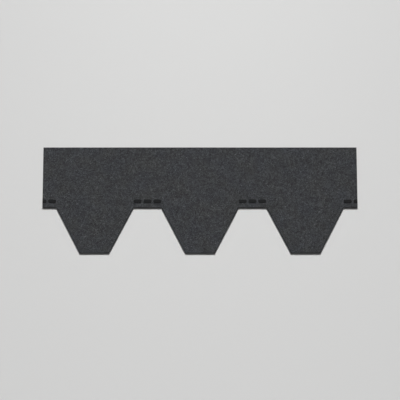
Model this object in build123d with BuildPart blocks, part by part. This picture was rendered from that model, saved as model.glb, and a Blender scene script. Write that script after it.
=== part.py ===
"""Three-tab hexagonal asphalt shingle: one strip, lying flat with its granule face up.

The strip is one sheet, cut from a wide web of asphalt-coated glass felt. Its lower half is cut
into tabs that taper towards their feet, so that strips which overlap, half a tab apart, show
hexagons. A group of self-seal dabs sits above each slot, where a tab's foot is stuck down.

Millimetres. X runs along the strip. Y points from the tab feet to the top edge. Z points up,
and the origin is the middle of the underside.
"""

from build123d import *
import os

# The strip
strip_length = 1000.0
tab_count = 3
exposure = 145.0  # the depth that stays in view in use, and so the depth of a tab
headlap = 50.0  # upper margin above two exposures
sheet_thickness = 3.2  # felt, asphalt and granules together

# The cut between two tabs
tab_foot_width = 93.0
slot_top_width = 88.0  # a little under a foot, so that a foot hides the slot's corners
cut_corner_radius = 1.0  # the bend of the cutting knife

# The self-seal dabs
dabs_per_slot = 3
dab_length = 25.0
dab_width = 12.0
dab_gap = 6.0  # between neighbours in a group
dab_height = 0.8
dab_corner_radius = 4.0
dab_crown_radius = 0.5
dab_setback = 15.0  # from the slot's top up to the dabs

# Worked out from the sizes above
tab_pitch = strip_length / tab_count
strip_depth = 2 * exposure + headlap
foot_y = -strip_depth / 2
shoulder_y = foot_y + exposure
slot_mouth_width = tab_pitch - tab_foot_width
dab_line_y = shoulder_y + dab_setback + dab_width / 2

# One slot lies between each two tabs, and half a slot at each end of the strip.
slot_count = tab_count + 1


def make_shingle():
    """The sheet, with its tabs: a plain strip less a row of tapered slots."""
    with BuildPart() as shingle:
        with BuildSketch():
            Rectangle(strip_length, strip_depth)
            with Locations((0, foot_y)):
                with GridLocations(tab_pitch, 0, slot_count, 1):
                    Polygon(
                        (-slot_mouth_width / 2, 0),
                        (slot_mouth_width / 2, 0),
                        (slot_top_width / 2, exposure),
                        (-slot_top_width / 2, exposure),
                        align=None,
                        mode=Mode.SUBTRACT,
                    )
        extrude(amount=sheet_thickness)
        knife_corners = shingle.edges().filter_by(Axis.Z).group_by(Axis.X)[1:-1]
        fillet([edge for column in knife_corners for edge in column], cut_corner_radius)
    shingle.part.label = "shingle_sheet"
    return shingle.part


def make_seal_dabs():
    """The self-seal dabs, crowned pads above each slot, cut through where the strip ends."""
    with BuildPart() as dabs:
        with BuildSketch(Plane.XY.offset(sheet_thickness)):
            with Locations((0, dab_line_y)):
                with GridLocations(tab_pitch, 0, slot_count, 1):
                    with GridLocations(dab_length + dab_gap, 0, dabs_per_slot, 1):
                        RectangleRounded(dab_length, dab_width, dab_corner_radius)
        extrude(amount=dab_height)
        fillet(dabs.faces().filter_by(Axis.Z).group_by(Axis.Z)[-1].edges(), dab_crown_radius)
        with Locations((0, dab_line_y, sheet_thickness)):
            Box(strip_length, 2 * dab_width, 4 * dab_height, mode=Mode.INTERSECT)
    dabs.part.label = "seal_dabs"
    return dabs.part


os.makedirs("parts", exist_ok=True)
export_step(make_shingle(), "parts/shingle_sheet.step")
export_step(make_seal_dabs(), "parts/seal_dabs.step")
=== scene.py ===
"""Looks of a three-tab hexagonal asphalt shingle strip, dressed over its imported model.

Metres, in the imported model's frame: X along the strip, Y from the tab feet to the top edge, Z up,
with the origin in the middle of the underside.
"""

import math

import bpy
import numpy as np
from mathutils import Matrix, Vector
from mathutils.geometry import delaunay_2d_cdt


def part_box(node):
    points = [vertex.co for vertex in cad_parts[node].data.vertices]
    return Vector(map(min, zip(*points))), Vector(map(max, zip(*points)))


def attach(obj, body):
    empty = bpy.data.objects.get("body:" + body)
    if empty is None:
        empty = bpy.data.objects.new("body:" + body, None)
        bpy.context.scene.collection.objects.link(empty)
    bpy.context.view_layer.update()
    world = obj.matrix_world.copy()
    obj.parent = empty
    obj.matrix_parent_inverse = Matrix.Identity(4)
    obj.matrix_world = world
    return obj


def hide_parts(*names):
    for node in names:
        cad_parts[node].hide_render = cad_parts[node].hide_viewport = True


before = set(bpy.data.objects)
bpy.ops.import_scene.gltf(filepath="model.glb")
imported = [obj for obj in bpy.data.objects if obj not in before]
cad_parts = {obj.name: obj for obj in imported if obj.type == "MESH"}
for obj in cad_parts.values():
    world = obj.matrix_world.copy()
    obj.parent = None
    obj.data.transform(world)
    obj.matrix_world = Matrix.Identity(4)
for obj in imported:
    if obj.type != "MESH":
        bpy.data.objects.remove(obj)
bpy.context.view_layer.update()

# Sizes of the strip, as in the part's source
TAB_COUNT = 3
EXPOSURE = 0.145
TAB_FOOT_WIDTH = 0.093
SLOT_TOP_WIDTH = 0.088
DABS_PER_SLOT = 3
DAB_LENGTH = 0.025
DAB_WIDTH = 0.012
DAB_GAP = 0.006

# Fineness of the sheet's mesh
RING_STEP = 0.002  # along the cut edge
FACE_STEP = 0.002  # over the granule face
UNDERSIDE_STEP = 0.006
JITTER = 0.22  # of a step
FACE_MARGIN = 0.75  # of a step, between the rim and the nearest points of the face
INSIDE_ONLY = 1  # the triangulation's code for triangles inside the outline alone
SAME_PLACE = 1e-7
SHAPE_SEED = 7

# The cut edge and the lie of the sheet
RIM_WIDTH = 0.0011  # bare asphalt between the cut and the granules
RIM_RAGGEDNESS = 0.0005
RIM_DROP = 0.0005  # from the granules down to the brow of the cut
RIM_DROP_SPREAD = (0.6, 1.2)  # of the drop
EDGE_ROUGHNESS = 0.00012
WAIST = 0.45  # of the thickness
GRAIN_HEIGHT = 0.00014
GRAIN_LIMIT = 2.5  # of the grain's height
SWELL_HEIGHT = 0.0004
SWELL_LENGTH = 0.32
SWELL_LENGTH_SPREAD = (0.7, 1.6)  # of that length
SWELL_WAVES = 10
SWELL_SEED = 11
SWELL_PAST_TABS = 0.35  # of its height at the tab feet
SHARP_ANGLE = math.radians(50)

# Shares of the sheet's map, from its foot up: the underside, the cut edge in rows, and the face
MAP_MARGIN = 0.004
UNDERSIDE_SHARE = 0.2
CUT_SHARE = 0.07
CUT_ROWS = 8
CUT_LEVELS = (0.0, 0.4, 0.75, 1.0)  # foot, waist, brow and rim, of the filled part of a row
CUT_ROW_FILL = 0.7

# The dabs: pressed beads with round ends and a crown that dips a little in its middle
DAB_SIDES = 48
DAB_LOBES = (3, 5, 7)  # waves round the outline
DAB_LOBE_SPREAD = (0.3, 1)  # of the wobble
DAB_HEIGHT_SPREAD = (0.85, 1)  # of the height
DAB_TURNS = np.radians((0, 25, 45, 65, 90))  # up the shoulder
DAB_END_POWER = 0.65  # of the sine and cosine: 1 would be a half circle, and less is squarer
DAB_STRETCH_POWER = 0.2
DAB_SHOULDER = 0.4  # of half the width
DAB_LIP = 0.2  # of the height
DAB_MIDDLE = (0.25, 0.94)  # the dip's share of half the width, and of the height
DAB_WOBBLE = 0.035  # of the outline
DAB_SINK = 0.0003  # into the granules

# Granules, sand, crumbs of cut asphalt and sealant. Levels are shares of the colour.
GRANULE_SIZE = 0.00125
GRANULE_RELIEF = 0.0004
GRANULE_LEAN = 0.8  # the slope of the steepest tops is about half of it
GRANULE_FLANK = (0.35, 0.8)  # from a stone's middle to where its side starts and ends, in its sizes
GRANULE_SHADE = (0.45, 0.8)  # the same for the shade between stones
SHADE_LEVEL = 0.45
GLINTING_STONES = 0.1  # of all stones
CLUMP_SIZE = 0.008
CLUMP_LEVELS = (0.76, 1.22)
CLOUD_SIZE = 0.025
CLOUD_LEVELS = (0.93, 1.07)
TINT_SIZE = 0.07
CRUMB_SIZE = 0.0009
CRUMB_LEVELS = (0.5, 1.6)
TEAR_SIZE = 0.0015
TEAR_RELIEF = 0.0003
SAND_SIZE = 0.0007
SAND_RELIEF = 0.0002
RIPPLE_SIZE = 0.004
RIPPLE_RELIEF = 0.0003

# The photograph's viewpoint
PHOTO_SIDE = 400.0  # pixels
PHOTO_FOCAL = 1323.0  # pixels
PHOTO_DISTANCE = 4.2
PHOTO_ELEVATION = math.radians(81.0)
SENSOR_WIDTH = 36.0  # mm

# Stage. The key, the sun and the fill add up to a level at which a colour renders as written.
FLOOR_REACH = 20.0
FLOOR_DROP = 0.0002
FLOOR_COLOUR = (0.66, 0.66, 0.655)
LIGHT_ELEVATION = math.radians(30.0)
LIGHT_SOFTNESS = math.radians(13.0)
LIGHT_SIDEWAYS = 0.02  # towards +X
KEY_DISTANCE = 4.0
KEY_SIDE = 0.92
KEY_AIM = Vector((0, 0.2, 0))
KEY_SPREAD = math.radians(60.0)
KEY_POWER = 5.5
SUN_STRENGTH = 4.6
FILL_LEVEL = 0.12
BACKDROP_LEVEL = 0.6

sheet_low, sheet_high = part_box("shingle_sheet")
dabs_low, dabs_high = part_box("seal_dabs")
strip_length = sheet_high.x - sheet_low.x
strip_depth = sheet_high.y - sheet_low.y
thickness = sheet_high.z - sheet_low.z
tab_pitch = strip_length / TAB_COUNT
tab_top_width = tab_pitch - SLOT_TOP_WIDTH
foot_y, top_y = sheet_low.y, sheet_high.y
shoulder_y = foot_y + EXPOSURE

rng = np.random.default_rng(SHAPE_SEED)


# The sheet

def swell(x, y):
    """A gentle random swell from -1 to 1, made of a few plane waves."""
    draw = np.random.default_rng(SWELL_SEED)
    total = np.zeros_like(x)
    for _ in range(SWELL_WAVES):
        heading, phase = draw.uniform(0, 2 * math.pi, 2)
        length = SWELL_LENGTH * draw.uniform(*SWELL_LENGTH_SPREAD)
        along = x * math.cos(heading) + y * math.sin(heading)
        total += np.sin(2 * math.pi * along / length + phase)
    return np.clip(total / math.sqrt(2 * SWELL_WAVES), -1, 1)


def strip_outline():
    """The corners of the strip, counter-clockwise from the first tab's left shoulder."""
    corners = []
    for tab in range(TAB_COUNT):
        middle = sheet_low.x + (tab + 0.5) * tab_pitch
        corners += [
            (middle - tab_top_width / 2, shoulder_y),
            (middle - TAB_FOOT_WIDTH / 2, foot_y),
            (middle + TAB_FOOT_WIDTH / 2, foot_y),
            (middle + tab_top_width / 2, shoulder_y),
        ]
    right, left = sheet_high.x, sheet_low.x
    corners += [(right, shoulder_y), (right, top_y), (left, top_y), (left, shoulder_y)]
    return np.array(corners)


def stepped(corners, step):
    """A closed line through the corners, divided evenly between each two."""
    points = []
    for a, b in zip(corners, np.roll(corners, -1, axis=0)):
        count = max(1, round(math.dist(a, b) / step))
        points += [a + (b - a) * i / count for i in range(count)]
    return np.array(points)


def inward(ring):
    """The unit direction from each point of a counter-clockwise ring into the sheet."""
    along = np.roll(ring, -1, axis=0) - np.roll(ring, 1, axis=0)
    along /= np.hypot(along[:, 0], along[:, 1])[:, None]
    return np.stack([-along[:, 1], along[:, 0]], 1)


def inside_points(step, margin):
    """A jittered triangular lattice inside the outline, at least margin from the edge.

    Every other row is shifted by half a step.
    """
    row_step = step * math.sqrt(3) / 2
    row, column = np.mgrid[0 : round(strip_depth / row_step), 0 : round(strip_length / step)]
    x = (column + 0.25 + 0.5 * (row % 2)).ravel() * step + sheet_low.x
    y = (row + 0.5).ravel() * row_step + foot_y
    x += rng.uniform(-JITTER, JITTER, x.size) * step
    y += rng.uniform(-JITTER, JITTER, y.size) * step

    off_middle = np.abs((x - sheet_low.x) % tab_pitch - tab_pitch / 2)
    taper = (tab_top_width - TAB_FOOT_WIDTH) / 2 / EXPOSURE
    half_width = TAB_FOOT_WIDTH / 2 + taper * (y - foot_y)
    in_tab = ((half_width - off_middle) / math.hypot(1, taper) > margin) & (y > foot_y + margin)
    in_band = y > shoulder_y + margin
    off_ends = np.minimum(x - sheet_low.x, sheet_high.x - x) > margin
    return np.stack([x, y], 1)[(in_band | in_tab) & off_ends & (y < top_y - margin)]


def triangulated(ring, inner):
    """Triangles over a closed ring and the points inside it, as rows of three indices."""
    places = [Vector(p) for p in np.concatenate([ring, inner])]
    edges = [(i, (i + 1) % len(ring)) for i in range(len(ring))]
    made = delaunay_2d_cdt(places, edges, [list(range(len(ring)))], INSIDE_ONLY, SAME_PLACE)
    came_from = [owners[0] for owners in made[3]]
    return np.array([[came_from[i] for i in face] for face in made[2]])


def lie(x, y):
    """How far the sheet stands off the floor: nearly flat, a hair proud at some tab feet."""
    towards_feet = np.clip((shoulder_y - y) / EXPOSURE, 0, 1)
    share = SWELL_PAST_TABS + (1 - SWELL_PAST_TABS) * towards_feet
    return SWELL_HEIGHT * (0.5 + 0.5 * swell(x, y)) * share


def face_map(corners):
    """The map of the granule face: its two halves turned upright, side by side."""
    x, y = corners[..., 0], corners[..., 1]
    right = (x.mean(axis=1) > 0)[:, None]
    along = np.where(right, x, x - sheet_low.x) / (strip_length / 2)
    across = (top_y - y) / strip_depth
    foot = UNDERSIDE_SHARE + CUT_SHARE
    u = (right + MAP_MARGIN + across * (1 - 2 * MAP_MARGIN)) / 2
    v = foot + MAP_MARGIN + along * (1 - foot - 2 * MAP_MARGIN)
    return np.stack([u, v], 2)


def cut_map(count):
    """The map of the cut edge: bands up the edge, in rows along it."""
    per_row = math.ceil(count / CUT_ROWS)
    row, column = np.divmod(np.arange(count), per_row)
    row_height = CUT_SHARE / CUT_ROWS
    levels = np.array(CUT_LEVELS) * CUT_ROW_FILL
    u = (column[:, None] + np.array([0, 1, 1, 0])) / per_row * (1 - 2 * MAP_MARGIN) + MAP_MARGIN
    rows = []
    for low, high in zip(levels, levels[1:]):
        v = UNDERSIDE_SHARE + (row[:, None] + np.array([low, low, high, high])) * row_height
        rows.append(np.stack([u, v], 2))
    return np.concatenate(rows)


def underside_map(corners):
    x, y = corners[..., 0], corners[..., 1]
    u = MAP_MARGIN + (x - sheet_low.x) / strip_length * (1 - 2 * MAP_MARGIN)
    v = MAP_MARGIN + (top_y - y) / strip_depth * (UNDERSIDE_SHARE - 2 * MAP_MARGIN)
    return np.stack([u, v], 2)


def band_faces(low, high, count):
    """The quads between two closed rings of count points, which start at low and high."""
    i = np.arange(count)
    j = (i + 1) % count
    return np.stack([low + i, low + j, high + j, high + i], 1)


def fan_faces(start, middle, count):
    """The triangles from a closed ring of count points, which starts at start, to the point middle."""
    i = np.arange(count)
    return np.stack([start + i, start + (i + 1) % count, np.full(count, middle)], 1)


def sheet_mesh():
    """The sheet as one closed mesh: granule face, cut edge with its bare rim, and underside."""
    outline = stepped(strip_outline(), RING_STEP)
    into = inward(outline)
    count = len(outline)

    def ring(inset, height):
        flat = outline + into * np.reshape(inset, (-1, 1))
        return np.column_stack([flat, np.broadcast_to(height, count)])

    ragged = rng.uniform(-1, 1, count)
    ragged = (ragged + np.roll(ragged, 1)) / 2
    brow_height = thickness - RIM_DROP * rng.uniform(*RIM_DROP_SPREAD, count)
    foot = ring(rng.uniform(0, 0.5, count) * EDGE_ROUGHNESS, 0.0)
    waist = ring(rng.uniform(0, 1, count) * EDGE_ROUGHNESS, WAIST * thickness)
    brow = ring(rng.uniform(0, 1, count) * EDGE_ROUGHNESS, brow_height)
    rim = ring(RIM_WIDTH + ragged * RIM_RAGGEDNESS, thickness + rng.normal(0, GRAIN_HEIGHT, count))

    granules = inside_points(FACE_STEP, FACE_MARGIN * FACE_STEP + RIM_WIDTH)
    grain = np.clip(rng.normal(0, 1, len(granules)), -GRAIN_LIMIT, GRAIN_LIMIT) * GRAIN_HEIGHT
    under = inside_points(UNDERSIDE_STEP, UNDERSIDE_STEP / 2)
    rings = [foot, waist, brow, rim]
    rim_start = (len(rings) - 1) * count
    places = np.concatenate([
        *rings,
        np.column_stack([granules, thickness + grain]),
        np.column_stack([under, np.zeros(len(under))]),
    ])
    places[:, 2] += lie(places[:, 0], places[:, 1])

    face = triangulated(rim[:, :2], granules) + rim_start
    cut = np.concatenate([band_faces(low, low + count, count) for low in range(0, rim_start, count)])
    bottom = triangulated(foot[:, :2], under)[:, ::-1]
    bottom = np.where(bottom < count, bottom, bottom + rim_start + len(granules))
    groups = [face.tolist(), cut.tolist(), bottom.tolist()]
    maps = [face_map(places[face]), cut_map(count), underside_map(places[bottom])]
    return places, groups, np.concatenate([spots.reshape(-1, 2) for spots in maps])


def new_piece(name, places, groups, materials, bake_map=None):
    """A smooth object of groups of faces, one group to each material."""
    mesh = bpy.data.meshes.new(name)
    mesh.from_pydata(places.tolist(), [], [face for group in groups for face in group])
    for material in materials:
        mesh.materials.append(material)
    sizes = [len(group) for group in groups]
    mesh.polygons.foreach_set("material_index", np.repeat(range(len(groups)), sizes))
    if bake_map is not None:
        mesh.uv_layers.new(name="OFBake").uv.foreach_set("vector", bake_map.ravel())
    mesh.shade_smooth()
    mesh.set_sharp_from_angle(angle=SHARP_ANGLE)
    mesh.update()
    piece = bpy.data.objects.new(name, mesh)
    bpy.context.scene.collection.objects.link(piece)
    return piece


# Materials

class Surface:
    """A material's node tree, with short calls for the nodes that these surfaces use."""

    def __init__(self, name):
        self.material = bpy.data.materials.new(name)
        self.material.use_nodes = True
        self.tree = self.material.node_tree
        self.shader = self.tree.nodes["Principled BSDF"]
        self.place = self.tree.nodes.new("ShaderNodeTexCoord").outputs["Object"]

    def feed(self, socket, value):
        if isinstance(value, bpy.types.NodeSocket):
            self.tree.links.new(value, socket)
        else:
            socket.default_value = value

    def node(self, kind, inputs, **settings):
        node = self.tree.nodes.new("ShaderNode" + kind)
        for name, value in settings.items():
            setattr(node, name, value)
        for name, value in inputs.items():
            self.feed(node.inputs[name], value)
        return node

    def cells(self, size):
        """Random cells, each with a random Color, its middle's Position and the Distance from it."""
        return self.node("TexVoronoi", {"Vector": self.place, "Scale": 1 / size}).outputs

    def draws(self, cells):
        """Three numbers drawn for each cell."""
        return list(self.node("SeparateColor", {"Color": cells["Color"]}).outputs)

    def slant(self, cells):
        """How high a flat top stands over each cell's middle, where each top leans its own way."""
        off_middle = self.vector("SUBTRACT", self.place, cells["Position"])
        lean = self.vector("SUBTRACT", cells["Color"], (0.5, 0.5, 0.5))
        return self.node("VectorMath", {0: off_middle, 1: lean}, operation="DOT_PRODUCT").outputs["Value"]

    def noise(self, size, detail=2.0, roughness=0.5):
        inputs = {"Vector": self.place, "Scale": 1 / size, "Detail": detail, "Roughness": roughness}
        return self.node("TexNoise", inputs).outputs["Fac"]

    def between(self, value, low, high, to_low, to_high):
        inputs = {"Value": value, "From Min": low, "From Max": high, "To Min": to_low, "To Max": to_high}
        return self.node("MapRange", inputs).outputs["Result"]

    def swing(self, noise, low, high):
        """Noise, most of which lies between 0.3 and 0.7, widened to go from low to high."""
        return self.between(noise, 0.3, 0.7, low, high)

    def times(self, a, b):
        return self.node("Math", {0: a, 1: b}, operation="MULTIPLY").outputs[0]

    def plus(self, a, b):
        return self.node("Math", {0: a, 1: b}, operation="ADD").outputs[0]

    def ramp(self, value, *stops):
        node = self.node("ValToRGB", {"Fac": value})
        elements = node.color_ramp.elements
        while len(elements) < len(stops):
            elements.new(0.5)
        for element, (position, colour) in zip(elements, stops):
            element.position = position
            element.color = (*colour, 1.0)
        return node.outputs["Color"]

    def vector(self, operation, a, b):
        return self.node("VectorMath", {0: a, 1: b}, operation=operation).outputs["Vector"]

    def dimmed(self, colour, factor):
        return self.node("VectorMath", {0: colour, "Scale": factor}, operation="SCALE").outputs[0]

    def finish(self, colour, roughness, height, depth, shine):
        """Links the shader. depth is how high the relief stands where height is 1, in metres."""
        bump = self.node("Bump", {"Height": height, "Distance": depth})
        self.feed(self.shader.inputs["Base Color"], colour)
        self.feed(self.shader.inputs["Roughness"], roughness)
        self.feed(self.shader.inputs["Normal"], bump.outputs["Normal"])
        self.feed(self.shader.inputs["Specular IOR Level"], shine)
        return self.material


def grey(level, warmth=-0.035):
    """A grey of that level, blue at the usual warmth and neutral at 0."""
    return (level * (1 + warmth), level, level * (1 - 2 * warmth))


def granule_face():
    """Charcoal mineral granules, pressed close together into black asphalt."""
    s = Surface("granule_face")
    stones = s.cells(GRANULE_SIZE)
    tone, gloss, lift = s.draws(stones)
    stone = s.ramp(
        tone,
        (0.0, grey(0.026)),
        (0.25, grey(0.043)),
        (0.6, grey(0.060)),
        (0.9, grey(0.086)),
        (0.985, grey(0.112)),
        (0.9995, grey(0.15)),
        (1.0, grey(0.29)),
    )
    tint = s.ramp(s.noise(TINT_SIZE), (0.35, (0.985, 1.0, 1.03)), (0.65, (1.012, 1.005, 0.97)))
    clumps = s.swing(s.noise(CLUMP_SIZE), *CLUMP_LEVELS)
    clouds = s.swing(s.noise(CLOUD_SIZE, detail=4.0, roughness=0.6), *CLOUD_LEVELS)
    shade = s.between(stones["Distance"], *GRANULE_SHADE, 1.0, SHADE_LEVEL)
    colour = s.dimmed(s.vector("MULTIPLY", stone, tint), s.times(s.times(clumps, clouds), shade))
    tops = s.plus(s.times(lift, 0.5), s.times(s.slant(stones), GRANULE_LEAN / GRANULE_RELIEF))
    height = s.plus(tops, s.between(stones["Distance"], *GRANULE_FLANK, 0.5, 0.0))
    roughness = s.between(gloss, 1 - GLINTING_STONES, 1.0, 0.92, 0.6)
    return s.finish(colour, roughness, height, depth=GRANULE_RELIEF, shine=0.15)


def cut_asphalt():
    """The layers at the cut edge: sand, then black asphalt round a glass mat, bare up to the rim."""
    s = Surface("cut_asphalt")
    up = s.node("SeparateXYZ", {"Vector": s.place}).outputs["Z"]
    asphalt, mat = grey(0.009), grey(0.034, 0.02)
    layers = s.ramp(
        s.between(up, 0.0, thickness, 0.0, 1.0),
        (0.0, grey(0.03, 0.02)),
        (0.07, asphalt),
        (0.38, asphalt),
        (0.43, mat),
        (0.48, mat),
        (0.53, asphalt),
        (0.86, asphalt),
        (1.0, grey(0.012)),
    )
    crumbs = s.between(s.draws(s.cells(CRUMB_SIZE))[0], 0.0, 1.0, *CRUMB_LEVELS)
    tears = s.noise(TEAR_SIZE, detail=3.0, roughness=0.6)
    colour = s.dimmed(layers, crumbs)
    return s.finish(colour, roughness=0.85, height=tears, depth=TEAR_RELIEF, shine=0.1)


def sanded_underside():
    """Black asphalt dusted with fine sand, so that strips don't stick in the stack."""
    s = Surface("sanded_underside")
    tone = s.draws(s.cells(SAND_SIZE))[0]
    colour = s.ramp(
        tone,
        (0.0, grey(0.012)),
        (0.6, grey(0.03, 0.0)),
        (0.9, grey(0.068, 0.03)),
        (1.0, grey(0.19, 0.05)),
    )
    return s.finish(colour, roughness=0.85, height=tone, depth=SAND_RELIEF, shine=0.25)


def sealant():
    """Black sealant with a dull sheen."""
    s = Surface("sealant")
    cloud = s.noise(RIPPLE_SIZE, detail=3.0)
    ripple = s.noise(RIPPLE_SIZE)
    colour = s.ramp(cloud, (0.3, grey(0.006)), (0.7, grey(0.012)))
    roughness = s.swing(cloud, 0.7, 0.85)
    return s.finish(colour, roughness, ripple, depth=RIPPLE_RELIEF, shine=0.13)


# Pieces

def make_sheet():
    places, groups, bake_map = sheet_mesh()
    materials = [granule_face(), cut_asphalt(), sanded_underside()]
    sheet = new_piece("shingle_strip", places, groups, materials, bake_map)
    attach(sheet, "root")
    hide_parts("shingle_sheet")


def dab_section(height):
    """Each ring's share of the dab's half width, and its height, from the foot to the crown."""
    yield 1.0, -DAB_SINK
    for turn in DAB_TURNS:
        level = DAB_LIP + (1 - DAB_LIP) * math.sin(turn)
        yield 1 - DAB_SHOULDER * (1 - math.cos(turn)), level * height
    share, level = DAB_MIDDLE
    yield share, level * height


def dab_mesh(x, y, around):
    """One crowned dab, closed, with its points at the given angles around it."""
    wobble = np.ones_like(around)
    for lobes in DAB_LOBES:
        depth = rng.uniform(*DAB_LOBE_SPREAD) * DAB_WOBBLE
        wobble += depth * np.sin(lobes * around + rng.uniform(0, 2 * math.pi))
    height = (dabs_high.z - dabs_low.z) * rng.uniform(*DAB_HEIGHT_SPREAD)

    def eased(way, power):
        return np.sign(way) * np.abs(way) ** power

    stretch = eased(np.cos(around), DAB_STRETCH_POWER) * (DAB_LENGTH - DAB_WIDTH) / 2
    across, up = (eased(way, DAB_END_POWER) for way in (np.cos(around), np.sin(around)))
    rings = []
    for share, level in dab_section(height):
        radius = share * DAB_WIDTH / 2
        flat = [x + wobble * (stretch + across * radius), y + wobble * up * radius]
        rings.append(np.column_stack([*flat, np.full(len(around), dabs_low.z + level)]))

    count = len(around)
    crown = (len(rings) - 1) * count
    middles = [ring.mean(axis=0, keepdims=True) for ring in (rings[0], rings[-1])]
    faces = [band_faces(low, low + count, count).tolist() for low in range(0, crown, count)]
    faces.append(fan_faces(0, crown + count, count)[:, ::-1].tolist())
    faces.append(fan_faces(crown, crown + count + 1, count).tolist())
    return np.concatenate(rings + middles), sum(faces, [])


def make_dabs():
    """The dabs over the strip, of which the first and the last are cut through at its ends."""
    places, faces = [], []
    half = np.linspace(-math.pi / 2, math.pi / 2, DAB_SIDES // 2 + 1)
    whole = np.linspace(0, 2 * math.pi, DAB_SIDES, endpoint=False)
    for slot in range(TAB_COUNT + 1):
        for dab in range(DABS_PER_SLOT):
            step = dab - (DABS_PER_SLOT - 1) / 2
            x = sheet_low.x + slot * tab_pitch + step * (DAB_LENGTH + DAB_GAP)
            if min(x - sheet_low.x, sheet_high.x - x) < -DAB_GAP:
                continue
            cut_through = step == 0 and slot in (0, TAB_COUNT)
            around = half + (slot > 0) * math.pi if cut_through else whole
            points, sides = dab_mesh(x, (dabs_low.y + dabs_high.y) / 2, around)
            faces += [[len(places) + i for i in side] for side in sides]
            places += points.tolist()
    places = np.array(places)
    places[:, 2] += lie(places[:, 0], places[:, 1])
    dabs = new_piece("sealant_dabs", places, [faces], [sealant()])
    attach(dabs, "root")
    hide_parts("seal_dabs")


# Stage

def make_floor():
    z = sheet_low.z - FLOOR_DROP
    corners = [(x * FLOOR_REACH, y * FLOOR_REACH, z) for x, y in ((-1, -1), (1, -1), (1, 1), (-1, 1))]
    material = bpy.data.materials.new("floor")
    material.use_nodes = True
    shader = material.node_tree.nodes["Principled BSDF"]
    shader.inputs["Base Color"].default_value = (*FLOOR_COLOUR, 1.0)
    shader.inputs["Roughness"].default_value = 0.9
    shader.inputs["Specular IOR Level"].default_value = 0.1
    new_piece("floor", np.array(corners), [[(0, 1, 2, 3)]], [material])


def add_lamp(name, kind, towards, distance, aim, **settings):
    """A lamp that stands towards that direction from the origin and shines at aim."""
    data = bpy.data.lights.new(name, kind)
    for setting, value in settings.items():
        setattr(data, setting, value)
    lamp = bpy.data.objects.new(name, data)
    lamp.location = towards * distance
    lamp.rotation_euler = (aim - lamp.location).to_track_quat("-Z", "Y").to_euler()
    lamp.visible_camera = False
    bpy.context.scene.collection.objects.link(lamp)


def make_lights():
    """A softbox and a hazy sun from beyond the top edge, and a pale room all round."""
    slope = Vector((LIGHT_SIDEWAYS, math.cos(LIGHT_ELEVATION), math.sin(LIGHT_ELEVATION)))
    towards = slope.normalized()
    add_lamp(
        "key", "AREA", towards, KEY_DISTANCE, KEY_AIM,
        shape="SQUARE", size=KEY_SIDE, spread=KEY_SPREAD, energy=KEY_POWER,
    )
    add_lamp("sun", "SUN", towards, KEY_DISTANCE, Vector(), angle=LIGHT_SOFTNESS, energy=SUN_STRENGTH)

    world = bpy.data.worlds.new("room")
    world.use_nodes = True
    nodes, links = world.node_tree.nodes, world.node_tree.links
    background = nodes["Background"]
    background.inputs["Color"].default_value = (1.0, 1.0, 1.0, 1.0)
    rays = nodes.new("ShaderNodeLightPath").outputs
    seen = rays["Is Camera Ray"]
    for kind in ("Is Glossy Ray", "Is Transmission Ray"):
        either = nodes.new("ShaderNodeMath")
        either.operation = "MAXIMUM"
        links.new(seen, either.inputs[0])
        links.new(rays[kind], either.inputs[1])
        seen = either.outputs[0]
    strength = nodes.new("ShaderNodeMapRange")
    strength.inputs["To Min"].default_value = FILL_LEVEL
    strength.inputs["To Max"].default_value = BACKDROP_LEVEL
    links.new(seen, strength.inputs["Value"])
    links.new(strength.outputs["Result"], background.inputs["Strength"])
    bpy.context.scene.world = world
    bpy.context.scene.view_settings.view_transform = "Standard"


def make_camera():
    data = bpy.data.cameras.new("camera")
    data.sensor_width = SENSOR_WIDTH
    data.lens = SENSOR_WIDTH * PHOTO_FOCAL / PHOTO_SIDE
    data.clip_end = 2 * FLOOR_REACH
    camera = bpy.data.objects.new("camera", data)
    back = Vector((0, -math.cos(PHOTO_ELEVATION), math.sin(PHOTO_ELEVATION)))
    camera.location = Vector((0, 0, sheet_high.z)) + back * PHOTO_DISTANCE
    camera.rotation_euler = (-back).to_track_quat("-Z", "Y").to_euler()
    bpy.context.scene.collection.objects.link(camera)
    bpy.context.scene.camera = camera


make_camera()
make_sheet()
make_dabs()
make_floor()
make_lights()
